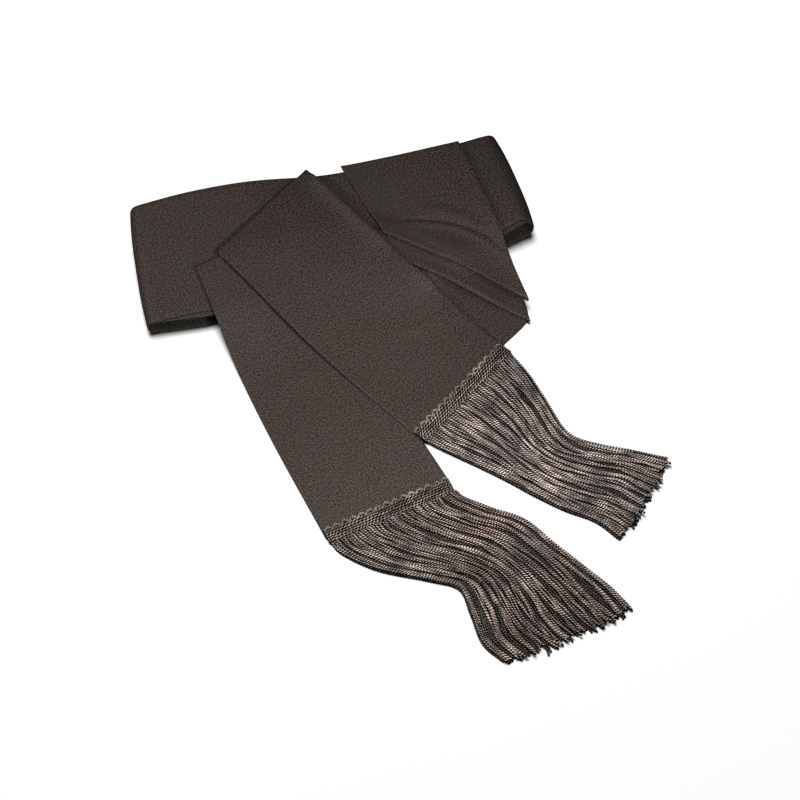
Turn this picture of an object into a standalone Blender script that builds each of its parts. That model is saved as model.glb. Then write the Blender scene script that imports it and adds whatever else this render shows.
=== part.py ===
"""Band cincture: a wide sash folded into a flat bundle, with both fringed ends laid in front.

X runs to the right, Y away from the viewer, Z up from the table top at 0. The tables hold
millimetres; to_mesh turns them into metres. Each stretch of the band is a wall of cloth.
"""
import math
from collections import namedtuple

import bmesh
import bpy
import numpy as np

MM = 0.001
ORIGIN = np.array([0.85, -1.17, 0.0])   # middle of the footprint, in the tables' millimetres

# Cloth, mm
BAND_WALL = 1.4        # double ply with interfacing
LOOP_WALL = 3.0        # two turns lying together
RIM_SHARE = 0.7        # a wall's rounded edge stands out by this share of half its thickness
GAP = 0.3              # between pieces that touch
CELL = 12.0            # mesh cell of the laid cloth
PLAN_SAMPLES = 40      # for measuring a stretch's length

# How a stretch lies on what is below it
LAY_MARGIN = 0.2       # extra room over the gap
LAY_REACH = 9.0        # a laid point clears everything this near below it
SAMPLE_SPACING = 3.0   # between the points that stand for the surface below
SETTLE_ROUNDS = 8
SETTLE_PULL = 0.65     # how strongly stiff cloth follows its neighbours in a round

# Soft folds at the ends of the stretches
FOLD_BULGE = 2.2       # a fold's nose stands out this far
FOLD_STEPS = 4
FOLD_EASE = 22.0       # a fold stands up, and settles over this distance

# The loop and the turns hidden in it
LEFT_BULGE = 9.0       # how far the rolled ends stand out
RIGHT_BULGE = 11.5
ROLL_ROUNDING = 0.25   # and by this share less at their corners
LOOP_STATIONS = 21
LOOP_ACROSS = 5
LOOP_ARC = 6
CORE_END = 16.0        # the hidden turns stop this far inside the rolled ends
CORE_INSET = 6.0       # and this far inside the loop's long edges
CORE_CLEARANCE = 0.8   # under the top layer, which sags
CORE_LAYERS = 4
CORE_LAYER_SHARE = 0.7    # of a layer's height stands full, the rest is the groove above it
CORE_GROOVE = 1.6         # depth of the groove
CORE_STATIONS = 20
CORE_NOSE_STATIONS = 2.5  # the ends round off over this many stations
CORE_NOSE_FLAT = 0.12     # and begin this full

# Fringe
LOWER_CROWN = 6.5      # the middle cords reach this much past the tables' last points
UPPER_CROWN = 3.0
TIP_SPREAD = 3.0       # and every cord is uneven by this much
STRANDS = 52           # in each fringe
STRAND_WIDTH = 1.9
STRAND_HEIGHT = 1.6
STRAND_STEPS = 8
STATION_EASE = 0.9     # sets the stations a little closer near the root
STRAND_AHEAD = 0.02    # how far ahead the direction of flow is taken
STRAND_CLEARANCE = 0.65   # between the two layers of cords
STRAND_LEVELS_AT_ROOT = 1.0
STRAND_FLOOR = 0.4     # strands lie just above the table
ROOT_INSET = 1.2       # a strand starts this far past the cloth's end, inside the gimp
ROOT_LIFT = 0.4        # and this far above the gimp's underside
FALL_START = 0.6       # a strand drops to the table from this station
FALL_STATIONS = 1.4    # over this many

# Gimp heading
HEADING_ABOVE = 7.0    # on the cloth, up from its end
HEADING_BELOW = 4.0    # past the cloth's end
PICOT_HEIGHT = 3.0
PICOTS = 15
GIMP_STEPS = 2 * PICOTS

CHARCOAL = (0.040, 0.032, 0.028)
CORD_BROWN = (0.085, 0.065, 0.058)
CLOTH_ROUGHNESS = 0.8
CORD_ROUGHNESS = 0.6

# A section of a laid stretch: the plan points of its two edges
Section = namedtuple("Section", "left_x left_y right_x right_y")
# A section of the loop: centre, heading in degrees, width, height of the top layer at each edge
LoopSection = namedtuple("LoopSection", "x y heading width top_front top_back")
# An outline point of a fringe
Edge = namedtuple("Edge", "x y")
# A point of the gimp's cross-section: distance past the cloth's end, height over the cloth
Rib = namedtuple("Rib", "past height")
# A laid stretch: its sections, the lengths folded under at its start and end, the folds' rise
Stretch = namedtuple("Stretch", "name sections smooth start_return end_return rise")

LOOP = [
    LoopSection(-215, 109, 11.2, 116, 20.0, 31.0),
    LoopSection(-166, 120, 13.0, 121, 18.0, 34.0),
    LoopSection(-110, 135, 13.5, 119, 9.8, 31.0),
    LoopSection(-45, 152, 14.5, 118, 9.8, 16.0),
    LoopSection(20, 169, 15.5, 115, 11.0, 17.0),
    LoopSection(72, 186, 18.0, 110, 22.0, 21.0),
    LoopSection(104.6, 199.2, 18.3, 102.5, 29.0, 24.0),
]

PLEAT_LOW = [
    Section(-6, 118, 118, 90),
    Section(2, 103, 124, 65),
    Section(24, 62, 99, 39),
    Section(36, 38, 84, 24),
]
PLEAT_MID = [
    Section(-14, 152, 113, 104),
    Section(-10, 140, 117, 84),
    Section(-6, 129, 123, 64),
]
WRAP = [
    Section(-43, 216, 63, 238.5),
    Section(-25, 181, 93, 162),
    Section(-15.6, 164.2, 105.4, 121.6),
    Section(-6, 147, 121.5, 80),
]
TAIL_LOWER = [
    Section(-169, 101, -71, 158),
    Section(-136, 23, -33, 71),
    Section(-99, -55, -1, -4),
    Section(-51, -146, 53, -98),
]
TAIL_UPPER = [
    Section(-150, 114, -75, 207),
    Section(-63, 30, 14, 117),
    Section(27, -54, 103, 33),
]
STRETCHES = [
    Stretch("pleat_low", PLEAT_LOW, False, 0.0, 0.0, 0.0),
    Stretch("pleat_mid", PLEAT_MID, True, 0.0, 20.0, 0.0),
    Stretch("wrap_over", WRAP, True, 35.0, 25.0, 0.0),
    Stretch("tail_lower", TAIL_LOWER, True, 40.0, 0.0, 1.0),
    Stretch("tail_upper", TAIL_UPPER, True, 40.0, 0.0, 1.0),
]

FRINGE_LOWER_LEFT = [
    Edge(-51, -146), Edge(-39, -160), Edge(-9, -174.5), Edge(32, -183.5),
    Edge(57, -191), Edge(66, -213), Edge(75, -238), Edge(91, -253),
]
FRINGE_LOWER_RIGHT = [
    Edge(55, -98), Edge(64, -108), Edge(86, -118), Edge(114, -129),
    Edge(141, -153), Edge(165, -174), Edge(184, -191), Edge(197, -206),
]
FRINGE_UPPER_LEFT = [
    Edge(27, -54), Edge(46, -65), Edge(75, -80), Edge(99, -93),
    Edge(124, -108), Edge(148, -121), Edge(172, -131), Edge(191, -147),
]
FRINGE_UPPER_RIGHT = [
    Edge(103, 33), Edge(118, 14), Edge(133, -13), Edge(148, -43),
    Edge(163, -56), Edge(185, -62), Edge(211, -67), Edge(236, -73),
]

# Three ribs along the gimp; the last but one point carries the picots
GIMP_PROFILE = [
    Rib(HEADING_BELOW, 0.0), Rib(HEADING_BELOW, 1.1), Rib(2.0, 2.0), Rib(0.2, 1.3), Rib(-1.7, 2.2),
    Rib(-3.4, 1.3), Rib(-5.2, 2.0), Rib(-HEADING_ABOVE, 1.0), Rib(-HEADING_ABOVE, 0.0),
]


# ---------------------------------------------------------------- curves and grids

def smooth_row(rows, t):
    """Point at t, from 0 to 1 and a little past, on the Catmull-Rom curve through named rows."""
    data = np.array([tuple(row) for row in rows], float)
    spans = len(data) - 1
    place = max(t, 0.0) * spans
    i = min(int(place), spans - 1)
    f = place - i
    p1, p2 = data[i], data[i + 1]
    p0 = data[i - 1] if i > 0 else 2 * p1 - p2
    p3 = data[i + 2] if i + 2 <= spans else 2 * p2 - p1
    return 0.5 * (2 * p1 + (p2 - p0) * f + (2 * p0 - 5 * p1 + 4 * p2 - p3) * f * f
                  + (3 * p1 - p0 - 3 * p2 + p3) * f ** 3)


def straight_row(rows, t):
    """Point at t, from 0 to 1, on the straight lines through the rows."""
    data = np.array([tuple(row) for row in rows], float)
    place = min(max(t, 0.0), 1.0) * (len(data) - 1)
    i = min(int(place), len(data) - 2)
    return data[i] + (data[i + 1] - data[i]) * (place - i)


def unit(vectors):
    length = np.linalg.norm(vectors, axis=-1, keepdims=True)
    return vectors / np.maximum(length, 1e-9)


def smooth_step(t):
    t = min(1.0, max(0.0, t))
    return t * t * (3 - 2 * t)


def tangents(grid, axis, closed=False):
    """Mean direction of the two neighbouring steps along a grid's axis."""
    g = np.moveaxis(grid, axis, 0)
    if closed:
        before = unit(g - np.roll(g, 1, axis=0))
        after = unit(np.roll(g, -1, axis=0) - g)
    else:
        step = unit(np.diff(g, axis=0))
        before = np.concatenate([step[:1], step])
        after = np.concatenate([step, step[-1:]])
    return np.moveaxis(unit(before + after), 0, axis)


def tube_faces(rows, around, closed=False):
    """Quads that join rings of points into a tube."""
    faces = []
    for i in range(rows if closed else rows - 1):
        for j in range(around):
            a = i * around + j
            b = i * around + (j + 1) % around
            c = ((i + 1) % rows) * around + (j + 1) % around
            d = ((i + 1) % rows) * around + j
            faces.append((a, b, c, d))
    return faces


def wall(grid, thickness, closed=False):
    """Closed wall of cloth around a centre grid[length, across], with rounded long edges."""
    along = tangents(grid, 0, closed)
    across = tangents(grid, 1)
    normal = unit(np.cross(across, along))
    half = thickness / 2
    top = grid - normal * half
    under = grid + normal * half
    left_rim = grid[:, :1] - across[:, :1] * half * RIM_SHARE
    right_rim = grid[:, -1:] + across[:, -1:] * half * RIM_SHARE
    ring = np.concatenate([top, right_rim, under[:, ::-1], left_rim], axis=1)
    rows, around = ring.shape[:2]
    faces = [face[::-1] for face in tube_faces(rows, around, closed)]
    if not closed:
        faces += end_cap(0, grid.shape[1], around, True)
        faces += end_cap((rows - 1) * around, grid.shape[1], around, False)
    return ring.reshape(-1, 3), faces


def end_cap(first, across, around, flip):
    """Strip of quads that closes one end of a wall's ring of points."""
    faces = []
    for j in range(across - 1):
        faces.append((first + j, first + around - 2 - j, first + around - 3 - j, first + j + 1))
    faces.append((first, first + around - 1, first + around - 2))
    faces.append((first + across - 1, first + across + 1, first + across))
    return [face[::-1] for face in faces] if flip else faces


def to_mesh(name, verts, faces, colour, roughness):
    mesh = bpy.data.meshes.new(name)
    points = (np.asarray(verts, float) - ORIGIN) * MM
    mesh.from_pydata([tuple(point) for point in points], [], faces)
    solid = bmesh.new()
    solid.from_mesh(mesh)
    bmesh.ops.triangulate(solid, faces=solid.faces)
    solid.to_mesh(mesh)
    solid.free()
    mesh.shade_smooth()
    obj = bpy.data.objects.new(name, mesh)
    bpy.context.scene.collection.objects.link(obj)
    material = bpy.data.materials.new(name)
    material.use_nodes = True
    shader = material.node_tree.nodes["Principled BSDF"]
    shader.inputs["Base Color"].default_value = (*colour, 1.0)
    shader.inputs["Roughness"].default_value = roughness
    mesh.materials.append(material)
    return obj


# ---------------------------------------------------------------- lying on what is below

def surface_samples(verts, faces):
    """Points spread over a mesh's faces, for finding its height under a plan point."""
    points = np.asarray(verts, float)
    samples = [points]
    for face in faces:
        corners = points[list(face)]
        for k in range(1, len(corners) - 1):
            a, b, c = corners[0], corners[k], corners[k + 1]
            longest = max(np.linalg.norm(b - a), np.linalg.norm(c - a))
            steps = max(1, int(longest / SAMPLE_SPACING))
            for i in range(steps + 1):
                for j in range(steps + 1 - i):
                    samples.append((a + (b - a) * i / steps + (c - a) * j / steps)[None])
    return np.concatenate(samples)


def height_below(plan, samples):
    """Highest sample within reach of each plan point, or the table's 0."""
    heights = np.zeros(plan.shape[:2])
    for i in range(plan.shape[0]):
        for j in range(plan.shape[1]):
            away = np.hypot(samples[:, 0] - plan[i, j, 0], samples[:, 1] - plan[i, j, 1])
            near = samples[away <= LAY_REACH, 2]
            heights[i, j] = max(0.0, near.max()) if len(near) else 0.0
    return heights


def settle(lowest):
    """Heights of a stiff cloth that bridges hollows but never goes below lowest."""
    z = lowest.copy()
    for _ in range(SETTLE_ROUNDS):
        padded = np.pad(z, 1, mode="edge")
        mean = (padded[:-2, 1:-1] + padded[2:, 1:-1] + padded[1:-1, :-2] + padded[1:-1, 2:]) / 4
        z = np.maximum(lowest, (1 - SETTLE_PULL) * z + SETTLE_PULL * mean)
    return z


def plan_grid(rows, curve):
    """Plan points of a laid stretch, and its mean length."""
    coarse = np.array([curve(rows, i / PLAN_SAMPLES) for i in range(PLAN_SAMPLES + 1)])
    middle = (coarse[:, :2] + coarse[:, 2:]) / 2
    length = np.linalg.norm(np.diff(middle, axis=0), axis=1).sum()
    width = np.linalg.norm(coarse[0, :2] - coarse[0, 2:])
    steps_long = max(2, round(length / CELL))
    steps_wide = max(2, round(width / CELL))
    plan = np.zeros((steps_long + 1, steps_wide + 1, 2))
    for i in range(steps_long + 1):
        section = curve(rows, i / steps_long)
        for j in range(steps_wide + 1):
            f = j / steps_wide
            plan[i, j] = section[:2] * (1 - f) + section[2:] * f
    return plan, length


def with_height(plan, z):
    return np.concatenate([plan, z[..., None]], axis=-1)


def fold_arc(edge_low, edge_high, outward, bulge, steps):
    """Rows that roll from edge_low round to edge_high, standing out by bulge."""
    rows = []
    for k in range(1, steps):
        angle = math.pi * (k / steps - 0.5)
        middle = (edge_low + edge_high) / 2
        half = (edge_high - edge_low) / 2
        rows.append(middle + half * math.sin(angle) + outward * bulge * math.cos(angle))
    return rows


def fold_at(edge_low, edge_high, plan_outward):
    outward = with_height(unit(plan_outward), np.zeros(len(plan_outward)))
    return fold_arc(edge_low, edge_high, outward, FOLD_BULGE, FOLD_STEPS)


def laid_stretch(stretch, below):
    """Centre grid of a stretch that lies on what is below, folded under at either end."""
    curve = smooth_row if stretch.smooth else straight_row
    plan, length = plan_grid(stretch.sections, curve)
    last = len(plan) - 1
    step = length / last
    base = height_below(plan, below) + BAND_WALL / 2
    base = settle(np.where(base > BAND_WALL / 2, base + GAP + LAY_MARGIN, base))
    start_rows = round(stretch.start_return / step)
    end_rows = round(stretch.end_return / step)
    top = base.copy()
    for i in range(last + 1):
        for rows, from_fold in ((start_rows, i), (end_rows, last - i)):
            if rows and from_fold <= rows + 1:
                rise = stretch.rise * math.exp(-(from_fold * step / FOLD_EASE) ** 2)
                top[i] = np.maximum(top[i], base[i] + BAND_WALL + GAP + LAY_MARGIN + rise)
    low_grid = with_height(plan, base)
    top_grid = with_height(plan, settle(top))
    grid = list(top_grid)
    if start_rows:
        arc = fold_at(low_grid[0], top_grid[0], plan[0] - plan[1])
        grid = [low_grid[i] for i in range(start_rows, -1, -1)] + arc + grid
    if end_rows:
        arc = fold_at(low_grid[-1], top_grid[-1], plan[-1] - plan[-2])
        grid = grid + arc[::-1] + [low_grid[last - i] for i in range(end_rows + 1)]
    return np.array(grid)


# ---------------------------------------------------------------- the loop and its hidden turns

def loop_layers():
    """Centre grids of the loop's bottom and top layers."""
    bottom = np.zeros((LOOP_STATIONS + 1, LOOP_ACROSS + 1, 3))
    top = bottom.copy()
    for i in range(LOOP_STATIONS + 1):
        s = LoopSection(*smooth_row(LOOP, i / LOOP_STATIONS))
        turn = math.radians(s.heading)
        for j in range(LOOP_ACROSS + 1):
            f = j / LOOP_ACROSS
            x = s.x - math.sin(turn) * (f - 0.5) * s.width
            y = s.y + math.cos(turn) * (f - 0.5) * s.width
            height = s.top_front + (s.top_back - s.top_front) * f
            bottom[i, j] = (x, y, LOOP_WALL / 2)
            top[i, j] = (x, y, height - LOOP_WALL / 2)
    return bottom, top


def roll_outward(heading):
    """How a rolled end stands out at each column: full in the middle, less at the corners."""
    turn = math.radians(heading)
    share = 1 - ROLL_ROUNDING * np.linspace(-1.0, 1.0, LOOP_ACROSS + 1) ** 4
    return np.array([math.cos(turn), math.sin(turn), 0.0]) * share[:, None]


def waist_loop():
    """Ring of cloth pressed flat: bottom layer, right roll, top layer, left roll."""
    bottom, top = loop_layers()
    right_arc = fold_arc(bottom[-1], top[-1], roll_outward(LOOP[-1].heading), RIGHT_BULGE, LOOP_ARC)
    left_arc = fold_arc(bottom[0], top[0], -roll_outward(LOOP[0].heading), LEFT_BULGE, LOOP_ARC)
    ring = np.array(list(bottom) + right_arc + list(top[::-1]) + left_arc[::-1])
    return wall(ring[:, ::-1], LOOP_WALL, closed=True)


def inner_turns():
    """The hidden turns: one rounded solid that fills the loop, grooved into layers at its edges."""
    stations = []
    length = np.hypot(LOOP[-1].x - LOOP[0].x, LOOP[-1].y - LOOP[0].y)
    end = CORE_END / length
    for i in range(CORE_STATIONS + 1):
        t = end + (1 - 2 * end) * (i / CORE_STATIONS)
        s = LoopSection(*smooth_row(LOOP, t))
        nose = min(i, CORE_STATIONS - i) / CORE_NOSE_STATIONS + CORE_NOSE_FLAT
        fullness = math.sqrt(1 - (1 - min(nose, 1.0)) ** 2)
        stations.append(core_section(s, fullness))
    around = len(stations[0])
    faces = tube_faces(len(stations), around)
    last = CORE_STATIONS * around
    for j in range(around // 2 - 1):
        pair = (j, j + 1, around - 2 - j, around - 1 - j)
        faces.append(pair[::-1])
        faces.append(tuple(last + k for k in pair))
    return np.concatenate(stations), faces


def core_section(s, fullness):
    """Ring of points across the hidden turns: front edge upward, top, back edge down, underside."""
    turn = math.radians(s.heading)
    floor = LOOP_WALL + GAP
    reach = s.width / 2 - CORE_INSET
    groove_rise = (1 + CORE_LAYER_SHARE) / 2
    steps = []
    for layer in range(CORE_LAYERS):
        steps.append((layer, 0.0))
        steps.append((layer + CORE_LAYER_SHARE, 0.0))
        if layer < CORE_LAYERS - 1:
            steps.append((layer + groove_rise, CORE_GROOVE))

    def edge(side):
        points = []
        for rise, groove in steps:
            across = side * (reach - groove * fullness)
            f = across / s.width + 0.5
            ceiling = s.top_front + (s.top_back - s.top_front) * f - LOOP_WALL - CORE_CLEARANCE
            z = floor + (ceiling - floor) * rise / CORE_LAYERS * fullness
            points.append((s.x - math.sin(turn) * across, s.y + math.cos(turn) * across, z))
        return points

    front = edge(-1.0)
    back = edge(1.0)
    return np.array(back + front[::-1])


# ---------------------------------------------------------------- fringes

def spread(i, seed):
    """Fixed uneven value from -1 to 1 for strand i."""
    return 2 * ((math.sin(i * 12.9898 + seed * 78.233) * 43758.5453) % 1.0) - 1


def row_point(row, f):
    place = f * (len(row) - 1)
    i = min(int(place), len(row) - 2)
    return row[i] + (row[i + 1] - row[i]) * (place - i)


def heading_strip(end_row, along):
    """Gimp strip on the cloth's end: three ribs along it and picots on its upper edge."""
    seat = BAND_WALL / 2 + GAP
    rings = []
    for i in range(GIMP_STEPS + 1):
        f = i / GIMP_STEPS
        base = row_point(end_row, f)
        picot = PICOT_HEIGHT * abs(math.sin(math.pi * PICOTS * f))
        for rib in GIMP_PROFILE:
            past = rib.past - picot if rib.past == -HEADING_ABOVE else rib.past
            rings.append(base + along * past + np.array([0, 0, seat + rib.height]))
    around = len(GIMP_PROFILE)
    faces = tube_faces(GIMP_STEPS + 1, around)
    faces.append(tuple(range(around - 1, -1, -1)))
    faces.append(tuple(GIMP_STEPS * around + j for j in range(around)))
    return np.array(rings), faces


def strand(left, right, end_row, along, crown, index, seed):
    """Three-sided cord from inside the gimp down to the table and along the fringe's flow."""
    f = (index + 0.5) / STRANDS
    past_end = crown * 4 * f * (1 - f) + TIP_SPREAD * spread(index, seed)
    level = index % 2
    root = row_point(end_row, f) + along * ROOT_INSET
    root_z = root[2] + BAND_WALL / 2 + GAP + ROOT_LIFT + level * STRAND_LEVELS_AT_ROOT
    verts = []
    for k in range(STRAND_STEPS + 1):
        t = (k / STRAND_STEPS) ** STATION_EASE
        a, b = smooth_row(left, t), smooth_row(right, t)
        ahead_a, ahead_b = smooth_row(left, t + STRAND_AHEAD), smooth_row(right, t + STRAND_AHEAD)
        centre = a + (b - a) * f
        flow = unit(ahead_a + (ahead_b - ahead_a) * f - centre)
        if k == 0:
            centre = root[:2]
        if k == STRAND_STEPS:
            centre = centre + flow * past_end
        # Where the cords crowd together, the second layer rises over the first
        pitch = abs((b - a)[0] * flow[1] - (b - a)[1] * flow[0]) / STRANDS
        crowding = max(0.0, 2 - 2 * pitch / STRAND_WIDTH)
        lying_z = STRAND_FLOOR + level * (STRAND_HEIGHT * crowding + STRAND_CLEARANCE)
        z = root_z + (lying_z - root_z) * smooth_step((k - FALL_START) / FALL_STATIONS)
        half = np.array([-flow[1], flow[0]]) * STRAND_WIDTH / 2
        verts.append((centre[0] - half[0], centre[1] - half[1], z))
        verts.append((centre[0] + half[0], centre[1] + half[1], z))
        verts.append((centre[0], centre[1], z + STRAND_HEIGHT))
    faces = [face[::-1] for face in tube_faces(STRAND_STEPS + 1, 3)]
    last = STRAND_STEPS * 3
    faces.append((0, 1, 2))
    faces.append((last + 2, last + 1, last))
    return verts, faces


def fringe(name, tail_grid, left, right, crown, seed):
    """One fringe: its strands fused into the gimp strip by a union."""
    end_row = tail_grid[-1].copy()
    end_row[:, 2] = np.maximum(tail_grid[-1][:, 2], tail_grid[-2][:, 2])
    across = unit((end_row[-1] - end_row[0]) * np.array([1, 1, 0]))
    along = np.array([across[1], -across[0], 0.0])
    strip = to_mesh(name, *heading_strip(end_row, along), CORD_BROWN, CORD_ROUGHNESS)
    all_verts = []
    all_faces = []
    for index in range(STRANDS):
        verts, faces = strand(left, right, end_row, along, crown, index, seed)
        all_faces += [tuple(len(all_verts) + v for v in face) for face in faces]
        all_verts += verts
    cords = to_mesh(name + "_cords", all_verts, all_faces, CORD_BROWN, CORD_ROUGHNESS)
    cords.hide_render = True
    cords.display_type = "WIRE"
    union = strip.modifiers.new("fuse roots", "BOOLEAN")
    union.operation = "UNION"
    union.solver = "EXACT"
    union.object = cords


# ---------------------------------------------------------------- the whole object

def clear_scene():
    for obj in list(bpy.data.objects):
        bpy.data.objects.remove(obj, do_unlink=True)


def build():
    clear_scene()
    loop = waist_loop()
    to_mesh("waist_loop", *loop, CHARCOAL, CLOTH_ROUGHNESS)
    to_mesh("inner_turns", *inner_turns(), CHARCOAL, CLOTH_ROUGHNESS)
    below = surface_samples(*loop)
    grids = {}
    for stretch in STRETCHES:
        grids[stretch.name] = laid_stretch(stretch, below)
        piece = wall(grids[stretch.name], BAND_WALL)
        to_mesh(stretch.name, *piece, CHARCOAL, CLOTH_ROUGHNESS)
        below = np.concatenate([below, surface_samples(*piece)])
    fringe("fringe_lower", grids["tail_lower"], FRINGE_LOWER_LEFT, FRINGE_LOWER_RIGHT, LOWER_CROWN, 1)
    fringe("fringe_upper", grids["tail_upper"], FRINGE_UPPER_LEFT, FRINGE_UPPER_RIGHT, UPPER_CROWN, 2)


build()
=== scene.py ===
"""Looks of the band cincture: cloth shells with their creases and edge stitches, the braided
gimp headings with picots, and the twisted cords of both fringes.

Tables and lengths are millimetres on the table top, as in the part's source; to_object turns
them into metres in the frame. X runs right, Y away from the viewer, Z up.
"""

import math
from collections import namedtuple

import bpy
import numpy as np
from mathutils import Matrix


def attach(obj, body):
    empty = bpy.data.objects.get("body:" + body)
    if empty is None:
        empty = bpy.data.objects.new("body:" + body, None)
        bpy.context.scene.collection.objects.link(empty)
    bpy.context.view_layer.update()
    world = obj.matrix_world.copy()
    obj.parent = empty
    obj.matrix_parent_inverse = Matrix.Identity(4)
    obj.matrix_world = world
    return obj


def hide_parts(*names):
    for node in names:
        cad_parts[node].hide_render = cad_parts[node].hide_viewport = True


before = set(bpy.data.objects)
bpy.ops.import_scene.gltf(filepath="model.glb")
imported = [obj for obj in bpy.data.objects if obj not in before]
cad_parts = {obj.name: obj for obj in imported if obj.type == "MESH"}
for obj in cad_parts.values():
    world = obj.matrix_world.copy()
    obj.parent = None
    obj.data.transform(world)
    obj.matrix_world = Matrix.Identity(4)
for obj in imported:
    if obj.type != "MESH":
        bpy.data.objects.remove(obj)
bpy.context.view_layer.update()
pieces = []

MM = 0.001
ORIGIN = np.array([0.85, -1.17, 0.0])

# Camera: the photograph looks down at 62 degrees
CAMERA_ELEVATION = math.radians(62.0)
CAMERA_DISTANCE = 1.535
CAMERA_AIM = (9.4, -15.0)     # table point at the image's centre
CAMERA_LENS = 80.0
CAMERA_SENSOR = 36.0

# Cloth walls, as the solids have them, and the thinner shells that show
BAND_WALL = 1.4
LOOP_WALL = 3.0
GAP = 0.3
CELL = 12.0
PLAN_SAMPLES = 40
LAY_MARGIN = 0.2
LAY_REACH = 9.0
SAMPLE_SPACING = 3.0
SETTLE_ROUNDS = 8
SETTLE_PULL = 0.65
RIM_SHARE = 0.7
EASED = ("tail_lower", "tail_upper")    # tails whose slopes are longer than the solids'
EASE_ROUNDS = 220
FOLD_BULGE = 2.2
FOLD_STEPS = 4
FOLD_EASE = 22.0
LEFT_BULGE = 9.0
RIGHT_BULGE = 11.5
ROLL_ROUNDING = 0.25
BULGE_OVER = 0.4       # the shells' rolls stand out this much more, so that they cover the solid's
LOOP_STATIONS = 21
LOOP_ACROSS = 5
LOOP_ARC = 6

# Hidden turns inside the loop
CORE_END = 16.0
CORE_INSET = 7.0
CORE_CLEARANCE = 0.8
CORE_STATIONS = 18
CORE_ACROSS = 5
CORE_SHIFTS = (0.0, 2.5, -1.5)     # of each hidden layer's middle towards the back
CORE_SHORTER = (0.0, 3.0, 1.0)     # each hidden layer ends this much further in
CORE_SHELL = 0.62
CORE_EDGE = 0.55
CORE_FOLD = 2.5

# Shells that show
FINE = 4               # fine cells in each coarse one
CORE_FINE = 3
SHELL = 1.25           # thickness of a laid shell
SHELL_EDGE = 1.8       # and at its soft folded long edges
EDGE_EASE = 5.0        # over this width the thickness goes from the one to the other
RIM_POINTS = 3
RIM_UV = 0.5           # of cloth between the points of a rim
TURN_SHELL = 1.35      # each of the loop's two turns
TURN_EDGE = 1.08
TURN_OFFSET = 0.78     # of a turn's middle from the wall's middle
TURN_SETBACK = 4.6     # the outer turn's front edge lies this far back
SETBACK_FROM = -214.0  # and does so more and more from here
SETBACK_OVER = 55.0
WAVES = 5              # gentle waves of cloth that isn't pressed flat
WAVE_HEIGHT = 0.10
WAVE_SHORTEST = 38.0
WAVE_LONGER = 17.0     # each wave than the one before
CREASE_ENDS = 0.15     # a crease runs out over this share of its length past its points
CREASE_TAPER = 0.4
RIDGE_BESIDE = 0.9     # a ridge's middle from the crease, in widths
TROUGH_NARROW = 1.5

# Stitches along the cloth's long edges
STITCHED = ("tail_upper", "tail_lower", "wrap_over")
STITCH_INSET = 2.2
STITCH_RADIUS = 0.24
STITCH = 2.5
STITCH_PITCH = 3.7
STITCH_ARCH = 0.22
STITCH_SUNK = 0.12     # of a thread's middle in the cloth
STITCH_FIRST = 3.0
STITCH_LINE = 0.4      # between the points that stitches are cut from
THREAD_STEP = 0.6

# Fringe
LOWER_CROWN = 6.5      # the middle cords reach this much further than the outer ones
UPPER_CROWN = 3.0
TIP_SPREAD = 3.5
CORDS = (56, 44)       # in a fringe's lower layer, and in the one that shows
STRAYS = 6             # cords that cross over the others
CORD_TWIST = 4.8       # length of one full turn of the two plies
TWIST_VARIES = 0.9     # radians, over and over along the cord
TWIST_WAVE = 9.0
CORD_END = 0.35        # share of its thickness that a cord keeps at its ends
CORD_STEP = 0.85       # between stations of a cord
CORD_PHASE = 2.6       # radians that cords are turned, either way
CORD_UV = 0.013        # each cord's own U, and that of the points round it
ROUND_UV = 0.0002
PLY_RADII = (0.62, 0.60)
CORD_FLOOR = 0.55      # the lowest cords' bed over the table
CORD_BED = 0.75        # a cord's middle stands this many half widths above its bed
LAYER_RISE = 1.9       # the upper cords lie this much above the lower ones
LOCK_MOUND = 1.3       # a lock's middle cords lie this much above its outer ones
LOCK_SHARE = 0.085     # a lock's part of the fringe's width, and how much that varies
LOCK_VARIES = 0.035
LOCK_PULL = 0.42       # how far cords draw to their lock's middle, and how much that varies
PULL_VARIES = 0.16
LOCK_FORMS = 0.4       # share of the length over which the locks draw together
LOCK_RISES = 0.3
LOCK_ENDS = 2.2        # a lock's tips reach this much further or less far
PATH_POINTS = 97
SWAYS = ((1.3, 9.0), (0.7, 19.0), (0.25, 43.0))   # sideways waves, radians over the length
SWAY_PHASE = 3.1       # radians that they are shifted, either way
UNDER_PHASES = (5.0, 9.0)   # the lower cords' waves shift evenly over the width instead
UNDER_RIPPLE = 0.3
SWAY_FROM = 0.15       # share of the length where they are full, and strays begin to drift
RIPPLES = ((0.3, 17.0), (0.25, 31.0))             # and waves up and down
CROWDED = 1.6          # cords pile up when they lie closer than this many half widths
PILE = 1.1
STRAY_MARGIN = 4       # cords at each side that no stray starts among
STRAY_UNEVEN = 0.4
STRAY_DRIFT = 0.07     # a stray cord crosses this part of the width
STRAY_OVER = 0.7       # of the length
STRAY_RISE = 1.5
CORD_LENGTH = 190.0
ROOT_RISE = (-0.3, 0.4)   # of each layer's root over the heading's seat
ROOT_INSET = 3.2
ROOT_BACK = 2.5        # a cord starts this far back under the heading
ROOT_STRAIGHT = 0.05   # and runs straight ahead over this share of the length
FALL_FROM = 0.05       # share of the length where a cord begins to drop to the table
FALL_TO = 0.26
TIP_POINTS = 6
TIP_CURL = 0.35
TIP_LIFT = 0.5

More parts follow.
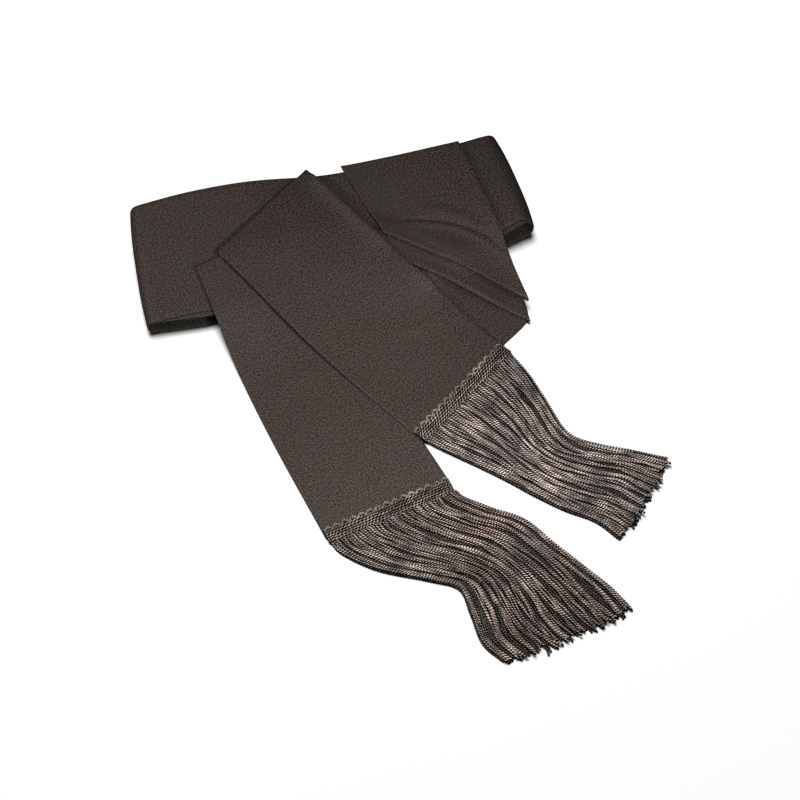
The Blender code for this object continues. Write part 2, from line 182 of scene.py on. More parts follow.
# Gimp heading
PICOTS = 15
TAPE = 0.9
TAPE_POINTS = 61
TAPE_AT = (-6.4, -4.0, -1.0, 1.5, 3.6)   # the tape's columns, past the cloth's end
ROWS_AT = (-5.0, -2.7, -0.4, 1.9, 4.1)   # and the five cords that lie on it
ROW_TWIST = 6.4
ROW_PLY = 0.60
ROW_RISE = 1.5         # of a row's middle above the tape
ROW_STEP = 0.42
ROW_PHASE = 1.1
ROW_POINTS = 240
ROW_SWAY = (0.12, 40.0)    # a row's waves along the cloth, radians over the width
ROW_RIPPLE = (0.1, 31.0)   # and up and down
PICOT_ROWS = ((-6.1, 3.4), (-6.0, 1.87))   # where each starts and how far its loops reach
PICOT_RISE = (1.7, 2.2)
PICOT_DROP = 0.5
PICOT_POWER = 1.2      # above 1 the loops are pointed
PICOT_STEP = 0.5
PICOT_PHASE = 1.3
PICOT_POINTS = 360
PICOT_PLY = 0.48
PICOT_TWIST = 4.0
PAINTED_GROOVE_SHADE = (0.002, 0.0015, 0.001)   # painted shade: colour between a cord's plies and on its underside

Section = namedtuple("Section", "left_x left_y right_x right_y")
LoopSection = namedtuple("LoopSection", "x y heading width top_front top_back")
Edge = namedtuple("Edge", "x y")
Stretch = namedtuple("Stretch", "name sections smooth start_return end_return rise")
Lamp = namedtuple("Lamp", "name x y z size power lights")
# A crease runs between two table points, bows sideways, and is a ridge beside a trough
Crease = namedtuple("Crease", "piece x0 y0 x1 y1 bow width ridge trough")

LOOP = [
    LoopSection(-215, 109, 11.2, 116, 20.0, 31.0),
    LoopSection(-166, 120, 13.0, 121, 18.0, 34.0),
    LoopSection(-110, 135, 13.5, 119, 9.8, 31.0),
    LoopSection(-45, 152, 14.5, 118, 9.8, 16.0),
    LoopSection(20, 169, 15.5, 115, 11.0, 17.0),
    LoopSection(72, 186, 18.0, 110, 22.0, 21.0),
    LoopSection(104.6, 199.2, 18.3, 102.5, 29.0, 24.0),
]
PLEAT_LOW = [
    Section(-6, 118, 118, 90),
    Section(2, 103, 124, 65),
    Section(24, 62, 99, 39),
    Section(36, 38, 84, 24),
]
PLEAT_MID = [
    Section(-14, 152, 113, 104),
    Section(-10, 140, 117, 84),
    Section(-6, 129, 123, 64),
]
WRAP = [
    Section(-43, 216, 63, 238.5),
    Section(-25, 181, 93, 162),
    Section(-15.6, 164.2, 105.4, 121.6),
    Section(-6, 147, 121.5, 80),
]
TAIL_LOWER = [
    Section(-169, 101, -71, 158),
    Section(-136, 23, -33, 71),
    Section(-99, -55, -1, -4),
    Section(-51, -146, 53, -98),
]
TAIL_UPPER = [
    Section(-150, 114, -75, 207),
    Section(-63, 30, 14, 117),
    Section(27, -54, 103, 33),
]
STRETCHES = [
    Stretch("pleat_low", PLEAT_LOW, False, 0.0, 0.0, 0.0),
    Stretch("pleat_mid", PLEAT_MID, True, 0.0, 20.0, 0.0),
    Stretch("wrap_over", WRAP, True, 35.0, 25.0, 0.0),
    Stretch("tail_lower", TAIL_LOWER, True, 40.0, 0.0, 1.0),
    Stretch("tail_upper", TAIL_UPPER, True, 40.0, 0.0, 1.0),
]
FRINGE_LOWER_LEFT = [
    Edge(-51, -146), Edge(-39, -160), Edge(-9, -174.5), Edge(32, -183.5),
    Edge(57, -191), Edge(66, -213), Edge(75, -238), Edge(91, -253),
]
FRINGE_LOWER_RIGHT = [
    Edge(55, -98), Edge(64, -108), Edge(86, -118), Edge(114, -129),
    Edge(141, -153), Edge(165, -174), Edge(184, -191), Edge(197, -206),
]
FRINGE_UPPER_LEFT = [
    Edge(27, -54), Edge(46, -65), Edge(75, -80), Edge(99, -93),
    Edge(124, -108), Edge(148, -121), Edge(172, -131), Edge(191, -147),
]
FRINGE_UPPER_RIGHT = [
    Edge(103, 33), Edge(118, 14), Edge(133, -13), Edge(148, -43),
    Edge(163, -56), Edge(185, -62), Edge(211, -67), Edge(236, -73),
]
CREASES = [
    Crease("wrap_over", 12, 158, 100, 126, 10.0, 4.0, 1.3, 1.3),
    Crease("wrap_over", 36, 175, 84, 150, 6.0, 7.0, 0.8, 0.6),
    Crease("wrap_over", -8, 150, 52, 118, 3.0, 6.0, 0.7, 0.4),
    Crease("tail_upper", 10, 52, 54, 78, -2.0, 4.5, 0.9, 0.7),
    Crease("tail_upper", -100, 118, -62, 168, 3.0, 12.0, 0.8, 0.4),
    Crease("tail_upper", -20, 20, 30, 84, 5.0, 16.0, 0.6, 0.4),
    Crease("tail_lower", -14, -88, -4, -118, 1.5, 3.5, 0.7, 0.6),
    Crease("tail_lower", -120, -6, -58, 26, 5.0, 15.0, 0.6, 0.3),
    Crease("tail_lower", -70, -110, 8, -70, 6.0, 18.0, 0.5, 0.3),
    Crease("pleat_mid", 10, 122, 100, 84, 4.0, 8.0, 0.5, 0.3),
    Crease("tail_upper", -100, 243, -5, 146, 0.0, 8.0, 2.6, 0.0),
]

# Round soft lamps, metres and watts. The paper has its own, so that it stays white beside
# near-black cloth.
SKY = 0.01
LAMPS = [
    Lamp("paper_light", -0.35, 0.9, 4.0, 1.9, 205.0, "paper"),
    Lamp("overhead", 0.10, -0.16, 0.42, 0.08, 1.5, "sash"),
    Lamp("left", -0.80, 0.04, 0.62, 0.07, 3.2, "sash"),
    Lamp("key", -0.25, 0.30, 1.0, 0.08, 2.2, "sash"),
    Lamp("front", 0.05, -0.40, 0.45, 0.08, 0.8, "sash"),
]


# ---------------------------------------------------------------- curves and grids

def smooth_row(rows, t):
    """Point at t on the Catmull-Rom curve through the rows."""
    data = np.array([tuple(row) for row in rows], float)
    spans = len(data) - 1
    place = max(t, 0.0) * spans
    i = min(int(place), spans - 1)
    f = place - i
    p1, p2 = data[i], data[i + 1]
    p0 = data[i - 1] if i > 0 else 2 * p1 - p2
    p3 = data[i + 2] if i + 2 <= spans else 2 * p2 - p1
    return 0.5 * (2 * p1 + (p2 - p0) * f + (2 * p0 - 5 * p1 + 4 * p2 - p3) * f * f
                  + (3 * p1 - p0 - 3 * p2 + p3) * f ** 3)


def straight_row(rows, t):
    data = np.array([tuple(row) for row in rows], float)
    place = min(max(t, 0.0), 1.0) * (len(data) - 1)
    i = min(int(place), len(data) - 2)
    return data[i] + (data[i + 1] - data[i]) * (place - i)


def unit(vectors):
    length = np.linalg.norm(vectors, axis=-1, keepdims=True)
    return vectors / np.maximum(length, 1e-9)


def smooth_step(t):
    t = np.clip(t, 0.0, 1.0)
    return t * t * (3 - 2 * t)


def spread(i, seed):
    """Fixed uneven value from -1 to 1."""
    return 2 * ((math.sin(i * 12.9898 + seed * 78.233) * 43758.5453) % 1.0) - 1


def tangents(grid, axis, closed=False):
    g = np.moveaxis(grid, axis, 0)
    if closed:
        before = unit(g - np.roll(g, 1, axis=0))
        after = unit(np.roll(g, -1, axis=0) - g)
    else:
        step = unit(np.diff(g, axis=0))
        before = np.concatenate([step[:1], step])
        after = np.concatenate([step, step[-1:]])
    return np.moveaxis(unit(before + after), 0, axis)


def normals(grid, closed=False):
    """Pointing to the inner or under side."""
    return unit(np.cross(tangents(grid, 1), tangents(grid, 0, closed)))


def tube_faces(rows, around, closed=False):
    i = np.arange(rows if closed else rows - 1)[:, None]
    j = np.arange(around)[None]
    after, beside = (i + 1) % rows, (j + 1) % around
    quads = np.stack(np.broadcast_arrays(
        i * around + j, i * around + beside, after * around + beside, after * around + j), -1)
    return quads.reshape(-1, 4)


def refine(grid, axis, factor, closed=False):
    """Cubic B-spline through a coarse grid, which never leaves its hull; the ends stay put."""
    g = np.moveaxis(grid, axis, 0)
    if closed:
        control = np.concatenate([g[-1:], g, g[:2]])
        spans = len(g)
    else:
        control = np.concatenate([2 * g[:1] - g[1:2], g, 2 * g[-1:] - g[-2:-1]])
        spans = len(g) - 1
    f = (np.arange(factor) / factor).reshape([1, -1] + [1] * (g.ndim - 1))
    weights = [(1 - f) ** 3 / 6, (3 * f ** 3 - 6 * f * f + 4) / 6,
               (-3 * f ** 3 + 3 * f * f + 3 * f + 1) / 6, f ** 3 / 6]
    fine = sum(w * control[k:k + spans, None] for k, w in enumerate(weights))
    fine = fine.reshape((-1,) + g.shape[1:])
    if not closed:
        fine = np.concatenate([fine, g[-1:]])
    return np.moveaxis(fine, 0, axis)


def to_object(points):
    return (np.asarray(points, float) - ORIGIN) * MM


def make_mesh(name, points, faces, material, uvs=None, crown=None):
    """Mesh from points in table millimetres and faces given as arrays or lists."""
    mesh = bpy.data.meshes.new(name)
    mesh.from_pydata(to_object(points).tolist(), [], [list(map(int, f)) for f in faces])
    if uvs is not None:
        layer = mesh.uv_layers.new(name="UVMap")
        index = np.empty(len(mesh.loops), np.int32)
        mesh.loops.foreach_get("vertex_index", index)
        layer.data.foreach_set("uv", np.asarray(uvs, np.float32)[index].ravel())
    # crown: per point mask that the cord materials turn into painted shade and painted highlight
    if crown is not None:
        attribute = mesh.attributes.new("crown", "FLOAT", "POINT")
        attribute.data.foreach_set("value", np.asarray(crown, np.float32))
    mesh.shade_smooth()
    mesh.materials.append(material)
    obj = bpy.data.objects.new(name, mesh)
    bpy.context.scene.collection.objects.link(obj)
    return obj


# ---------------------------------------------------------------- coarse forms, as the solids

def coarse_wall(grid, thickness, closed=False):
    along = tangents(grid, 0, closed)
    across = tangents(grid, 1)
    normal = unit(np.cross(across, along))
    half = thickness / 2
    left_rim = grid[:, :1] - across[:, :1] * half * RIM_SHARE
    right_rim = grid[:, -1:] + across[:, -1:] * half * RIM_SHARE
    under = (grid + normal * half)[:, ::-1]
    ring = np.concatenate([grid - normal * half, right_rim, under, left_rim], axis=1)
    return ring.reshape(-1, 3), tube_faces(len(ring), ring.shape[1], closed)[:, ::-1]


def surface_samples(points, quads):
    """Points spread over the faces, for finding the height under a table point."""
    samples = [points]
    corners = points[quads]
    for b_index, c_index in ((1, 2), (2, 3)):
        a, b, c = corners[:, 0], corners[:, b_index], corners[:, c_index]
        longest = np.maximum(np.linalg.norm(b - a, axis=1), np.linalg.norm(c - a, axis=1))
        steps = np.maximum(1, (longest / SAMPLE_SPACING).astype(int))
        for count in np.unique(steps):
            group = steps == count
            for i in range(count + 1):
                for j in range(count + 1 - i):
                    step = (b - a)[group] * i / count + (c - a)[group] * j / count
                    samples.append(a[group] + step)
    return np.concatenate(samples)


def height_below(plan, samples):
    heights = np.zeros(plan.shape[:2])
    for i in range(plan.shape[0]):
        for j in range(plan.shape[1]):
            away = np.hypot(samples[:, 0] - plan[i, j, 0], samples[:, 1] - plan[i, j, 1])
            near = samples[away <= LAY_REACH, 2]
            heights[i, j] = max(0.0, near.max()) if len(near) else 0.0
    return heights


def settle_step(z, lowest):
    padded = np.pad(z, 1, mode="edge")
    mean = (padded[:-2, 1:-1] + padded[2:, 1:-1] + padded[1:-1, :-2] + padded[1:-1, 2:]) / 4
    return np.maximum(lowest, (1 - SETTLE_PULL) * z + SETTLE_PULL * mean)


def settle(lowest):
    z = lowest.copy()
    for _ in range(SETTLE_ROUNDS):
        z = settle_step(z, lowest)
    return z


def plan_grid(rows, curve):
    coarse = np.array([curve(rows, i / PLAN_SAMPLES) for i in range(PLAN_SAMPLES + 1)])
    middle = (coarse[:, :2] + coarse[:, 2:]) / 2
    length = np.linalg.norm(np.diff(middle, axis=0), axis=1).sum()
    width = np.linalg.norm(coarse[0, :2] - coarse[0, 2:])
    steps_long = max(2, round(length / CELL))
    steps_wide = max(2, round(width / CELL))
    plan = np.zeros((steps_long + 1, steps_wide + 1, 2))
    for i in range(steps_long + 1):
        section = curve(rows, i / steps_long)
        for j in range(steps_wide + 1):
            f = j / steps_wide
            plan[i, j] = section[:2] * (1 - f) + section[2:] * f
    return plan, length


def with_height(plan, z):
    return np.concatenate([plan, z[..., None]], axis=-1)


def fold_arc(edge_low, edge_high, outward, bulge, steps):
    rows = []
    for k in range(1, steps):
        angle = math.pi * (k / steps - 0.5)
        middle = (edge_low + edge_high) / 2
        half = (edge_high - edge_low) / 2
        rows.append(middle + half * math.sin(angle) + outward * bulge * math.cos(angle))
    return rows


def fold_at(edge_low, edge_high, plan_outward):
    outward = with_height(unit(plan_outward), np.zeros(len(plan_outward)))
    return fold_arc(edge_low, edge_high, outward, FOLD_BULGE, FOLD_STEPS)


def laid_stretch(stretch, below):
    """Centre grid of a laid stretch, and the first and last row that lie on top."""
    curve = smooth_row if stretch.smooth else straight_row
    plan, length = plan_grid(stretch.sections, curve)
    last = len(plan) - 1
    step = length / last
    base = height_below(plan, below) + BAND_WALL / 2
    base = settle(np.where(base > BAND_WALL / 2, base + GAP + LAY_MARGIN, base))
    start_rows = round(stretch.start_return / step)
    end_rows = round(stretch.end_return / step)
    top = base.copy()
    for i in range(last + 1):
        for rows, from_fold in ((start_rows, i), (end_rows, last - i)):
            if rows and from_fold <= rows + 1:
                rise = stretch.rise * math.exp(-(from_fold * step / FOLD_EASE) ** 2)
                top[i] = np.maximum(top[i], base[i] + BAND_WALL + GAP + LAY_MARGIN + rise)
    low_grid = with_height(plan, base)
    top_grid = with_height(plan, settle(top))
    grid = list(top_grid)
    first = 0
    if start_rows:
        arc = fold_at(low_grid[0], top_grid[0], plan[0] - plan[1])
        under = [low_grid[i] for i in range(start_rows, -1, -1)] + arc
        first = len(under)
        grid = under + grid
    final = first + last
    if end_rows:
        arc = fold_at(low_grid[-1], top_grid[-1], plan[-1] - plan[-2])
        grid = grid + arc[::-1] + [low_grid[last - i] for i in range(end_rows + 1)]
    return np.array(grid), first, final


def loop_layers():
    bottom = np.zeros((LOOP_STATIONS + 1, LOOP_ACROSS + 1, 3))
    top = bottom.copy()
    for i in range(LOOP_STATIONS + 1):
        s = LoopSection(*smooth_row(LOOP, i / LOOP_STATIONS))
        turn = math.radians(s.heading)
        for j in range(LOOP_ACROSS + 1):
            f = j / LOOP_ACROSS
            x = s.x - math.sin(turn) * (f - 0.5) * s.width
            y = s.y + math.cos(turn) * (f - 0.5) * s.width
            height = s.top_front + (s.top_back - s.top_front) * f
            bottom[i, j] = (x, y, LOOP_WALL / 2)
            top[i, j] = (x, y, height - LOOP_WALL / 2)
    return bottom, top


def roll_outward(heading):
    turn = math.radians(heading)
    share = 1 - ROLL_ROUNDING * np.linspace(-1.0, 1.0, LOOP_ACROSS + 1) ** 4
    return np.array([math.cos(turn), math.sin(turn), 0.0]) * share[:, None]


def loop_ring(over):
    bottom, top = loop_layers()
    right, left = roll_outward(LOOP[-1].heading), -roll_outward(LOOP[0].heading)
    right_arc = fold_arc(bottom[-1], top[-1], right, RIGHT_BULGE + over, LOOP_ARC)
    left_arc = fold_arc(bottom[0], top[0], left, LEFT_BULGE + over, LOOP_ARC)
    return np.array(list(bottom) + right_arc + list(top[::-1]) + left_arc[::-1])[:, ::-1]


# ---------------------------------------------------------------- cloth shells

def arc_lengths(grid, axis):
    step = np.linalg.norm(np.diff(grid, axis=axis), axis=-1)
    zero = np.zeros_like(np.take(step, [0], axis=axis))
    return np.cumsum(np.concatenate([zero, step], axis=axis), axis=axis)


def shell(name, grid, thickness, edge_thickness, material, closed=False):
    """Closed wall of cloth with rounded long edges, and a UV map in metres."""
    across = tangents(grid, 1)
    normal = normals(grid, closed)
    wide = arc_lengths(grid, 1)
    to_edge = np.minimum(wide, wide[:, -1:] - wide)
    half = (edge_thickness + (thickness - edge_thickness) * smooth_step(to_edge / EDGE_EASE)) / 2
    half = half[..., None]
    outer = grid - normal * half
    under = (grid + normal * half)[:, ::-1]
    rims = []
    for side, column in ((1.0, -1), (-1.0, 0)):
        points = []
        for k in range(1, RIM_POINTS + 1):
            angle = math.pi * k / (RIM_POINTS + 1)
            up = -normal[:, column] * math.cos(angle) * side
            out = side * across[:, column] * math.sin(angle)
            points.append(grid[:, column] + (up + out) * half[:, column])
        rims.append(np.stack(points, 1))
    ring = np.concatenate([outer, rims[0], under, rims[1]], axis=1)
    rows, around = ring.shape[:2]
    columns = grid.shape[1]
    faces = tube_faces(rows, around, closed)[:, ::-1].tolist()
    if not closed:
        for first, flip in ((0, True), ((rows - 1) * around, False)):
            faces += end_cap(first, columns, around, flip)
    along = np.broadcast_to(arc_lengths(grid, 0)[:, columns // 2, None], (rows, around))
    rim = np.arange(1, RIM_POINTS + 1) * RIM_UV
    right = wide[:, -1:] + rim
    left = -rim + np.zeros((rows, 1))
    u = np.concatenate([wide, right, wide[:, ::-1], left], axis=1)
    uvs = np.stack([u, along], -1).reshape(-1, 2) * MM
    return make_mesh(name, ring.reshape(-1, 3), faces, material, uvs)


def end_cap(first, columns, around, flip):
    """Closes one end of a shell: a strip between its faces and a polygon at each rim."""
    under_last = columns + RIM_POINTS + columns - 1
    faces = []
    for j in range(columns - 1):
        faces.append([j, under_last - j, under_last - j - 1, j + 1])
    faces.append([columns - 1 + k for k in range(RIM_POINTS + 2)][::-1])
    faces.append([0] + [around - 1 - k for k in range(RIM_POINTS + 1)])
    faces = [[first + v for v in face] for face in faces]
    return [face[::-1] for face in faces] if flip else faces


def crease_height(points, crease):
    """Height that a crease adds at table points."""
    start = np.array([crease.x0, crease.y0], float)
    span = np.array([crease.x1, crease.y1], float) - start
    length = np.linalg.norm(span)
    ahead = span / length
    side = np.array([-ahead[1], ahead[0]])
    away = points - start
    t = away @ ahead / length
    off = away @ side - crease.bow * np.clip(4 * t * (1 - t), -1, 1)
    begins = smooth_step(np.clip(t + CREASE_ENDS, 0, 1) / CREASE_TAPER)
    ends = smooth_step(np.clip(1 + CREASE_ENDS - t, 0, 1) / CREASE_TAPER)
    d = off / crease.width
    ridge = crease.ridge * np.exp(-(d + RIDGE_BESIDE) ** 2)
    trough = crease.trough * np.exp(-(d * TROUGH_NARROW) ** 2)
    return (ridge - trough) * (begins * ends)


def unevenness(points, seed):
    """Gentle waves of a cloth that isn't pressed flat."""
    total = 0.0
    for k in range(WAVES):
        heading = 2.4 * k + seed
        wave = (WAVE_SHORTEST + WAVE_LONGER * k) / (2 * math.pi)
        place = points[..., 0] * math.cos(heading) + points[..., 1] * math.sin(heading)
        total = total + WAVE_HEIGHT * np.sin(place / wave + 1.7 * seed + k)
    return total


def dressed_stretch(name, coarse, first, final, seed):
    """Fine centre grid with creases on the rows that lie on top."""
    grid = refine(refine(coarse, 0, FINE), 1, FINE)
    row = np.arange(len(grid))
    on_top = smooth_step((row - first * FINE) / FINE) * smooth_step((final * FINE - row) / FINE + 1)
    if name in EASED:
        eased = grid[..., 2].copy()
        for _ in range(EASE_ROUNDS):
            eased = settle_step(eased, grid[..., 2])
        grid[..., 2] += (eased - grid[..., 2]) * on_top[:, None]
    lift = unevenness(grid[..., :2], seed)
    for crease in CREASES:
        if crease.piece == name:
            lift = lift + crease_height(grid[..., :2], crease)
    grid[..., 2] += lift * on_top[:, None]
    grid[..., 2] = np.maximum(grid[..., 2], SHELL_EDGE / 2)
    return grid


def flat_size(grid, closed=False):
    """Width and length in metres of the flat strip that the grid is folded from."""
    g = np.concatenate([grid, grid[:1]]) if closed else grid
    middle = g[:, g.shape[1] // 2]
    length = np.linalg.norm(np.diff(middle, axis=0), axis=1).sum()
    width = arc_lengths(g, 1)[:, -1].mean()
    return round(width * MM, 4), round(length * MM, 4)


def finish_piece(obj, slot, *nodes):
    pieces.append(obj)
    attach(obj, "root")
    if nodes:
        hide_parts(*nodes)
    return obj


# ---------------------------------------------------------------- cords

# Cross-section of two plies side by side, in ply radii
TWO_PLY = np.array([(2.0, 0.0), (1.0, 1.0), (0.0, 0.35), (-1.0, 1.0),
                    (-2.0, 0.0), (-1.0, -1.0), (0.0, -0.35), (1.0, -1.0)])
TWO_PLY_PLAIN = np.array([(2.0, 0.0), (0.8, 0.95), (-0.8, 0.95),
                          (-2.0, 0.0), (-0.8, -0.95), (0.8, -0.95)])
ROUND_THREAD = np.array([(math.cos(a), math.sin(a)) for a in np.arange(6) * math.pi / 3])


def resample(path, step):
    length = np.concatenate([[0], np.cumsum(np.linalg.norm(np.diff(path, axis=0), axis=1))])
    count = max(3, int(length[-1] / step))
    places = np.linspace(0, length[-1], count + 1)
    return np.stack([np.interp(places, length, path[:, k]) for k in range(3)], 1), places


def cord_rings(path, section, radius, twist, phase, step):
    """Rings of points along a cord whose section turns as it goes, closed at both ends."""
    line, places = resample(path, step)
    tangent = unit(np.gradient(line, axis=0))
    side = unit(np.cross(tangent, np.array([0.0, 0.0, 1.0])))
    up = np.cross(side, tangent)
    angle = np.full(len(places), phase)
    if twist:
        uneven = TWIST_VARIES * np.sin(places / TWIST_WAVE + 5 * phase)
        angle = phase + 2 * math.pi * places / twist + uneven
    size = np.full(len(places), radius)
    size[0] = size[-1] = radius * CORD_END
    cos, sin = np.cos(angle)[:, None], np.sin(angle)[:, None]
    x = section[:, 0][None] * cos - section[:, 1][None] * sin
    y = section[:, 0][None] * sin + section[:, 1][None] * cos
    turned = x[..., None] * side[:, None] + y[..., None] * up[:, None]
    rings = line[:, None] + size[:, None, None] * turned
    return rings, places


def cord_piece(name, cords, section, radius, twist, step, material):
    """One mesh of many cords. UV holds a value of the cord's own and the distance along it, crown
    how far a point stands up from the cord's middle: a mask that the cord materials turn into
    painted shade under the cord and in its grooves, and a painted highlight on its top.
    """
    points, faces, uvs, shade_highlight_masks = [], [], [], []
    total = 0
    around = len(section)
    for index, (path, phase) in enumerate(cords):
        rings, places = cord_rings(path, section, radius, twist, phase, step)
        rows = len(rings)
        # Painted shade and highlight mask: how high each point stands over its ring's middle, in
        # cord widths, from 0 to 1
        painted_light_share = (rings[..., 2] - rings[..., 2].mean(1)[:, None]) / (2 * radius)
        shade_highlight_masks.append(np.clip(painted_light_share, 0.0, 1.0).ravel())
        faces.append(tube_faces(rows, around) + total)
        points.append(rings.reshape(-1, 3))
        own = np.full((rows, around), CORD_UV * index) + np.arange(around)[None] * ROUND_UV
        along = np.broadcast_to(places[:, None] * MM, (rows, around))
        uvs.append(np.stack([own, along], -1).reshape(-1, 2))
        total += rows * around
    faces = np.concatenate(faces)
    caps = []
    start = 0
    for block in points:
        end = start + len(block)
        caps.append(list(range(start, start + around))[::-1])
        caps.append(list(range(end - around, end)))
        start = end
    return make_mesh(name, np.concatenate(points), faces.tolist() + caps, material,
                     np.concatenate(uvs), np.concatenate(shade_highlight_masks))


def curve_rows(rows, ts):
    return np.array([smooth_row(rows, t) for t in ts])


class Flow:
    """The outlines of a fringe, its root on the cloth's end, and how its cords run between them."""

    def __init__(self, end_row, along, left, right, crown, seed):
        self.end_row, self.along, self.crown, self.seed = end_row, along, crown, seed
        self.t = np.linspace(0.0, 1.0, PATH_POINTS)
        self.a = curve_rows(left, self.t)
        self.b = curve_rows(right, self.t)

    def lock(self, f):
        """Middle, width and number of the lock of cords that f belongs to."""
        edge = 0.0
        index = 0
        while True:
            width = LOCK_SHARE + LOCK_VARIES * spread(index, self.seed + 7)
            if f < edge + width or edge + width > 1.0:
                return min(edge + width / 2, 1.0), width, index
            edge += width
            index += 1

    def path(self, index, count, level, drift=0.0):
        """Centre line of a cord; a stray one drifts across the others and lies on top."""
        f = (index + 0.5) / count
        lock_f, lock_width, lock_index = self.lock(f)
        inside = min(f, 1 - f) * 2
        t = self.t
        pull = LOCK_PULL + PULL_VARIES * spread(lock_index, self.seed + 3)
        pull = level * pull * smooth_step(t / LOCK_FORMS)
        if level:
            phase = SWAY_PHASE * spread(lock_index, self.seed)
            own = SWAY_PHASE * spread(index, self.seed + level)
        else:
            phase, own = (shift * f for shift in UNDER_PHASES)
        sway = sum(reach * np.sin(t * turns + start)
                   for (reach, turns), start in zip(SWAYS, (phase, own, 2 * own)))
        across = self.b - self.a
        sway = sway / np.linalg.norm(across, axis=1) * min(1.0, inside * 4)
        ft = f + (lock_f - f) * pull + sway * smooth_step(t / SWAY_FROM)
        ft = ft + drift * smooth_step((t - SWAY_FROM) / STRAY_OVER)
        centre = self.a + across * ft[:, None]
        flow = unit(np.gradient(centre, axis=0))
        # The cords pile up where the outlines draw together
        pitch = np.abs(across[:, 0] * flow[:, 1] - across[:, 1] * flow[:, 0]) / count
        radius = 2 * PLY_RADII[level]
        crowding = np.clip(1.0 - pitch / (CROWDED * radius), 0.0, 1.0)
        lying = CORD_FLOOR + radius * CORD_BED + level * LAYER_RISE
        pile = PILE * (1 + spread(index * 3 + level, self.seed + 11)) * crowding * (1 + level)
        (high, fast), (low, faster) = RIPPLES
        ripple = high * level * np.sin(t * fast + own * 1.3) + low * np.sin(t * faster + phase)
        from_middle = min(1.0, abs(f - lock_f) * 2 / lock_width)
        mound = level * LOCK_MOUND * (1 - from_middle ** 2) * smooth_step(t / LOCK_RISES)
        ripple *= 1 if level else UNDER_RIPPLE
        z = lying + pile + mound + ripple + (STRAY_RISE if drift else 0.0)
        root = self.root(f) + self.along * ROOT_INSET
        root_z = root[2] + BAND_WALL / 2 + GAP + ROOT_RISE[level]
        fall = smooth_step((t - FALL_FROM) / (FALL_TO - FALL_FROM))
        z = root_z + (z - root_z) * fall
        near = smooth_step(1 - t / ROOT_STRAIGHT)[:, None]
        straight = root[:2] + self.along[:2] * (t * CORD_LENGTH)[:, None]
        centre = centre * (1 - near) + straight * near
        line = np.concatenate([centre, z[:, None]], axis=1)
        start = np.array([[*(root[:2] - self.along[:2] * ROOT_BACK), root_z]])
        past = self.crown * 4 * f * (1 - f) + TIP_SPREAD * spread(index + 31 * level, self.seed)
        past += LOCK_ENDS * spread(lock_index, self.seed + 5)
        return np.concatenate([start, line, self.tip(line, past, index, level)])

    def tip(self, line, past, index, level):
        """The cord's last bit, which curls a little."""
        heading = unit(line[-1, :2] - line[-4, :2])
        side = np.array([-heading[1], heading[0]])
        curl = TIP_CURL * spread(index, self.seed + 17 + level)
        lift = TIP_LIFT * spread(index, self.seed + 19) * level
        points = []
        for k in range(1, TIP_POINTS + 1):
            share = k / TIP_POINTS
            d = max(past, 0.5) * share
            x, y = line[-1, :2] + heading * d + side * curl * d * share
            points.append([x, y, line[-1, 2] + lift * share ** 2])
        return np.array(points)

    def root(self, f):
        place = f * (len(self.end_row) - 1)
        i = min(int(place), len(self.end_row) - 2)
        return self.end_row[i] + (self.end_row[i + 1] - self.end_row[i]) * (place - i)


# ---------------------------------------------------------------- gimp headings

def heading_line(flow, past, height, count):
    """Points along a heading at distances past the cloth's end and heights over its seat."""
    f = np.linspace(0.0, 1.0, count)
    base = np.array([flow.root(v) for v in f])
    seat = np.array([0.0, 0.0, BAND_WALL / 2 + GAP])
    up = np.array([0.0, 0.0, 1.0])
    return base + seat + flow.along * past(f)[:, None] + up * height(f)[:, None]


def picot_wave(f):
    return np.abs(np.sin(math.pi * PICOTS * f))


def gimp(name, flow, material, picot_material):
    """Tape with rows of corded braid and a picot edge."""
    rows = []
    for row, past in enumerate(ROWS_AT):
        sway, turns = ROW_SWAY
        ripple, faster = ROW_RIPPLE
        line = heading_line(flow, lambda f: past + sway * np.sin(turns * f + row),
                            lambda f: TAPE + ROW_RISE + ripple * np.sin(faster * f + 2 * row),
                            ROW_POINTS)
        rows.append((line[::-1] if row % 2 else line, ROW_PHASE * row))
    braid = cord_piece(name + "_braid", rows, TWO_PLY, ROW_PLY, ROW_TWIST, ROW_STEP, material)
    loops = []
    for strand, (start, reach) in enumerate(PICOT_ROWS):
        line = heading_line(flow, lambda f: start - reach * picot_wave(f) ** PICOT_POWER,
                            lambda f: PICOT_RISE[strand] - PICOT_DROP * picot_wave(f),
                            PICOT_POINTS)
        loops.append((line, PICOT_PHASE * strand))
    picots = cord_piece(name + "_picots", loops, TWO_PLY_PLAIN, PICOT_PLY, PICOT_TWIST, PICOT_STEP,
                        picot_material)
    grid = np.stack([heading_line(flow, lambda f: past + 0 * f, lambda f: TAPE / 2 + 0 * f,
                                  TAPE_POINTS) for past in TAPE_AT], 1)
    tape = shell(name + "_tape", grid, TAPE, TAPE, material)
    return [braid, picots], tape, flat_size(grid)


# ---------------------------------------------------------------- stitches

